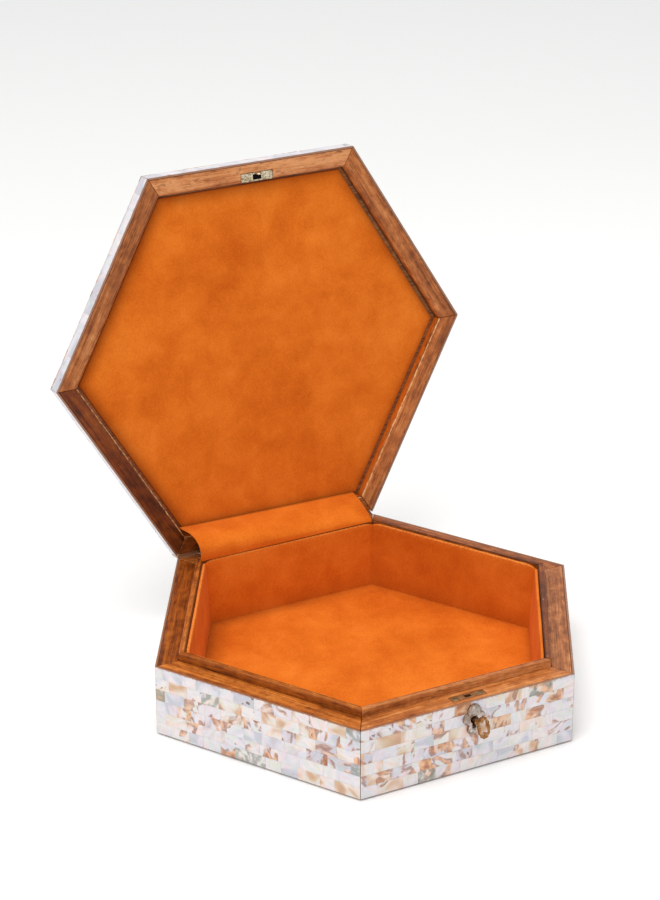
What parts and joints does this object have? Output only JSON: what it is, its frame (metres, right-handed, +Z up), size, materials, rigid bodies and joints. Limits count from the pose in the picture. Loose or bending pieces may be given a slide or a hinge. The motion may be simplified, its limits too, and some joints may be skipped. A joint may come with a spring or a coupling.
{
  "type": "jewellery box",
  "caption": "Shallow hexagonal wooden box with hinged lid, tiled outside with mother-of-pearl, suede lined, with a small lock and key.",
  "frame": {"origin": "centre of the box's underside, on the table", "axes": "+Z up, -Y towards the lock and the front, +X to the right seen from the front; the hinge line runs along X at the back"},
  "size_m": [0.28, 0.2981, 0.2867],
  "materials": {
    "wood": "warm brown hardwood, waxed, worn light at the edges",
    "shell": "polished mother-of-pearl tiles in brick courses",
    "suede": "orange suede with a mottled nap",
    "steel": "dull nickel, slightly tarnished",
    "brass": "aged brass"
  },
  "bodies": {
    "box": {"base_board": "wood", "floor_pad": "suede", "wall_front": "wood", "wall_front_right": "wood", "wall_back_right": "wood", "wall_back": "wood", "wall_back_left": "wood", "wall_front_left": "wood", "lip_front": "wood", "lip_front_right": "wood", "lip_back_right": "wood", "lip_back": "wood", "lip_back_left": "wood", "lip_front_left": "wood", "shell_front": "shell", "shell_front_right": "shell", "shell_back_right": "shell", "shell_back": "shell", "shell_back_left": "shell", "shell_front_left": "shell", "liner_front": "suede", "liner_front_right": "suede", "liner_back_right": "suede", "liner_back": "suede", "liner_back_left": "suede", "liner_front_left": "suede", "hinge_flap": "suede", "lock": "steel", "escutcheon": "steel", "key": "brass", "hinge_box_leaf_left": "steel", "hinge_box_leaf_right": "steel", "hinge_pin_left": "steel", "hinge_pin_right": "steel"},
    "lid": {"hinge_lid_leaf_left": "steel", "hinge_lid_leaf_right": "steel", "lid_board": "wood", "lid_pad": "suede", "lid_rim_front": "wood", "lid_rim_front_right": "wood", "lid_rim_back_right": "wood", "lid_rim_back": "wood", "lid_rim_back_left": "wood", "lid_rim_front_left": "wood", "lid_shell_top": "shell", "lid_shell_front": "shell", "lid_shell_front_right": "shell", "lid_shell_back_right": "shell", "lid_shell_back": "shell", "lid_shell_back_left": "shell", "lid_shell_front_left": "shell", "catch": "brass"}
  },
  "joints": [
    {"name": "lid_hinge", "type": "hinge", "parent": "box", "child": "lid", "pos_m": [0, 0.12184, 0.0452], "axis": [1, 0, 0], "range_deg": [0, 96.4], "deforming": ["hinge_flap"]}
  ]
}
